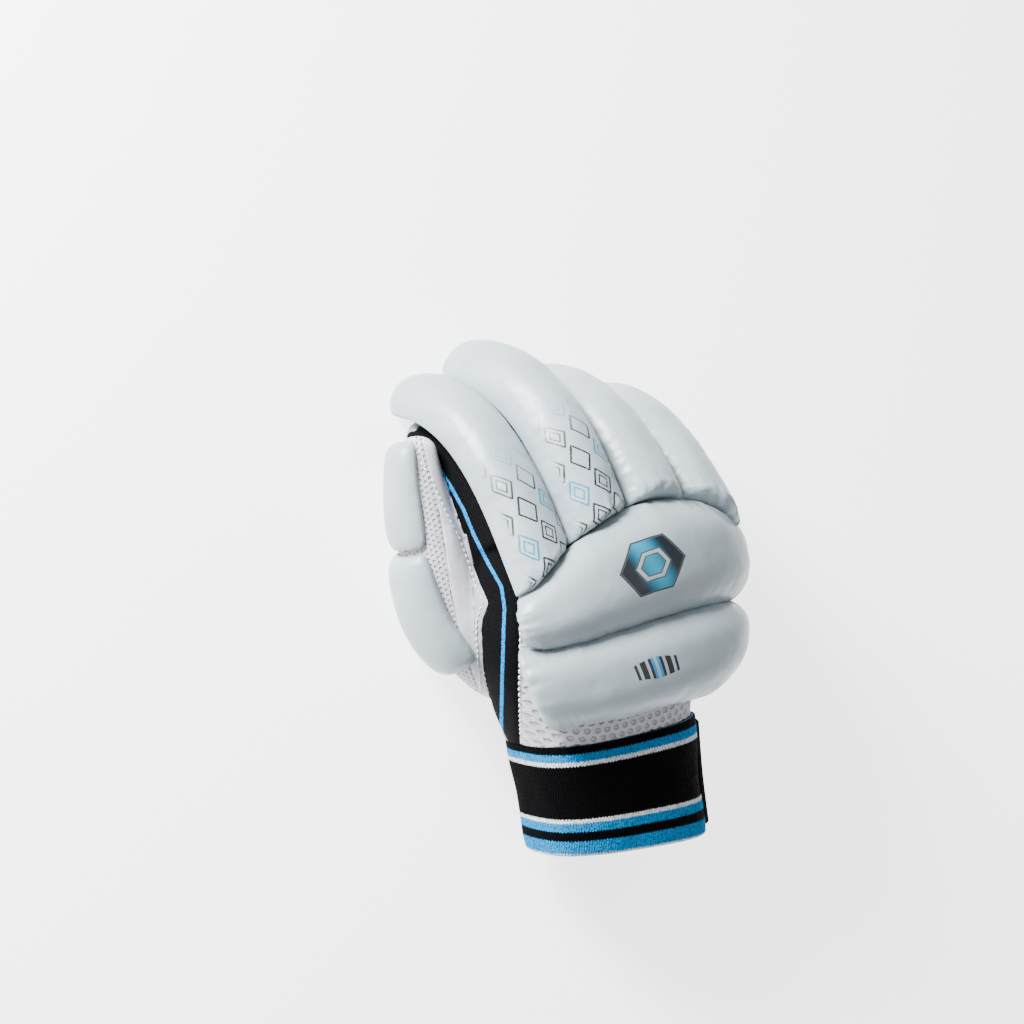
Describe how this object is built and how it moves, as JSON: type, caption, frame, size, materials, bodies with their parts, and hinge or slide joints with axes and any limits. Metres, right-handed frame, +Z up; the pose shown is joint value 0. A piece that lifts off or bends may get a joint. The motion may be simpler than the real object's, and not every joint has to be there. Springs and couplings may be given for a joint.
{
  "type": "cricket batting glove",
  "caption": "Padded cricket batting glove for the right hand, with leather rolls over curled fingers, knuckles and wrist, a padded thumb, a knit cuff and a wrist strap.",
  "frame": {"origin": "middle of the underside of the bounding box, on the floor that the glove lies on", "axes": "+Y from the cuff to the fingertips, +X from the thumb side to the little finger side, +Z up from the palm to the back of the hand"},
  "size_m": [0.1724, 0.2566, 0.0961],
  "materials": {
    "roll_leather": "smooth white, slightly glossy",
    "palm_leather": "soft, matte, light grey white",
    "mesh_cloth": "white air mesh",
    "knit_black": "black stretch knit with a blue line",
    "cuff_knit": "terry knit, black with blue and white bands",
    "strap_black": "matte black",
    "tab_rubber": "moulded, satin black"
  },
  "bodies": {
    "root": {"palm": "palm_leather", "back_panel": "mesh_cloth", "index_gusset": "knit_black", "index_roll": "roll_leather", "middle_gusset": "knit_black", "middle_roll": "roll_leather", "ring_gusset": "knit_black", "ring_roll": "roll_leather", "little_gusset": "knit_black", "little_roll": "roll_leather", "thumb_sleeve": "mesh_cloth", "thumb_base_pad": "roll_leather", "thumb_tip_pad": "roll_leather", "knuckle_roll": "roll_leather", "wrist_roll": "roll_leather", "cuff": "cuff_knit", "wrist_strap": "strap_black", "strap_tab": "tab_rubber"}
  },
  "joints": []
}
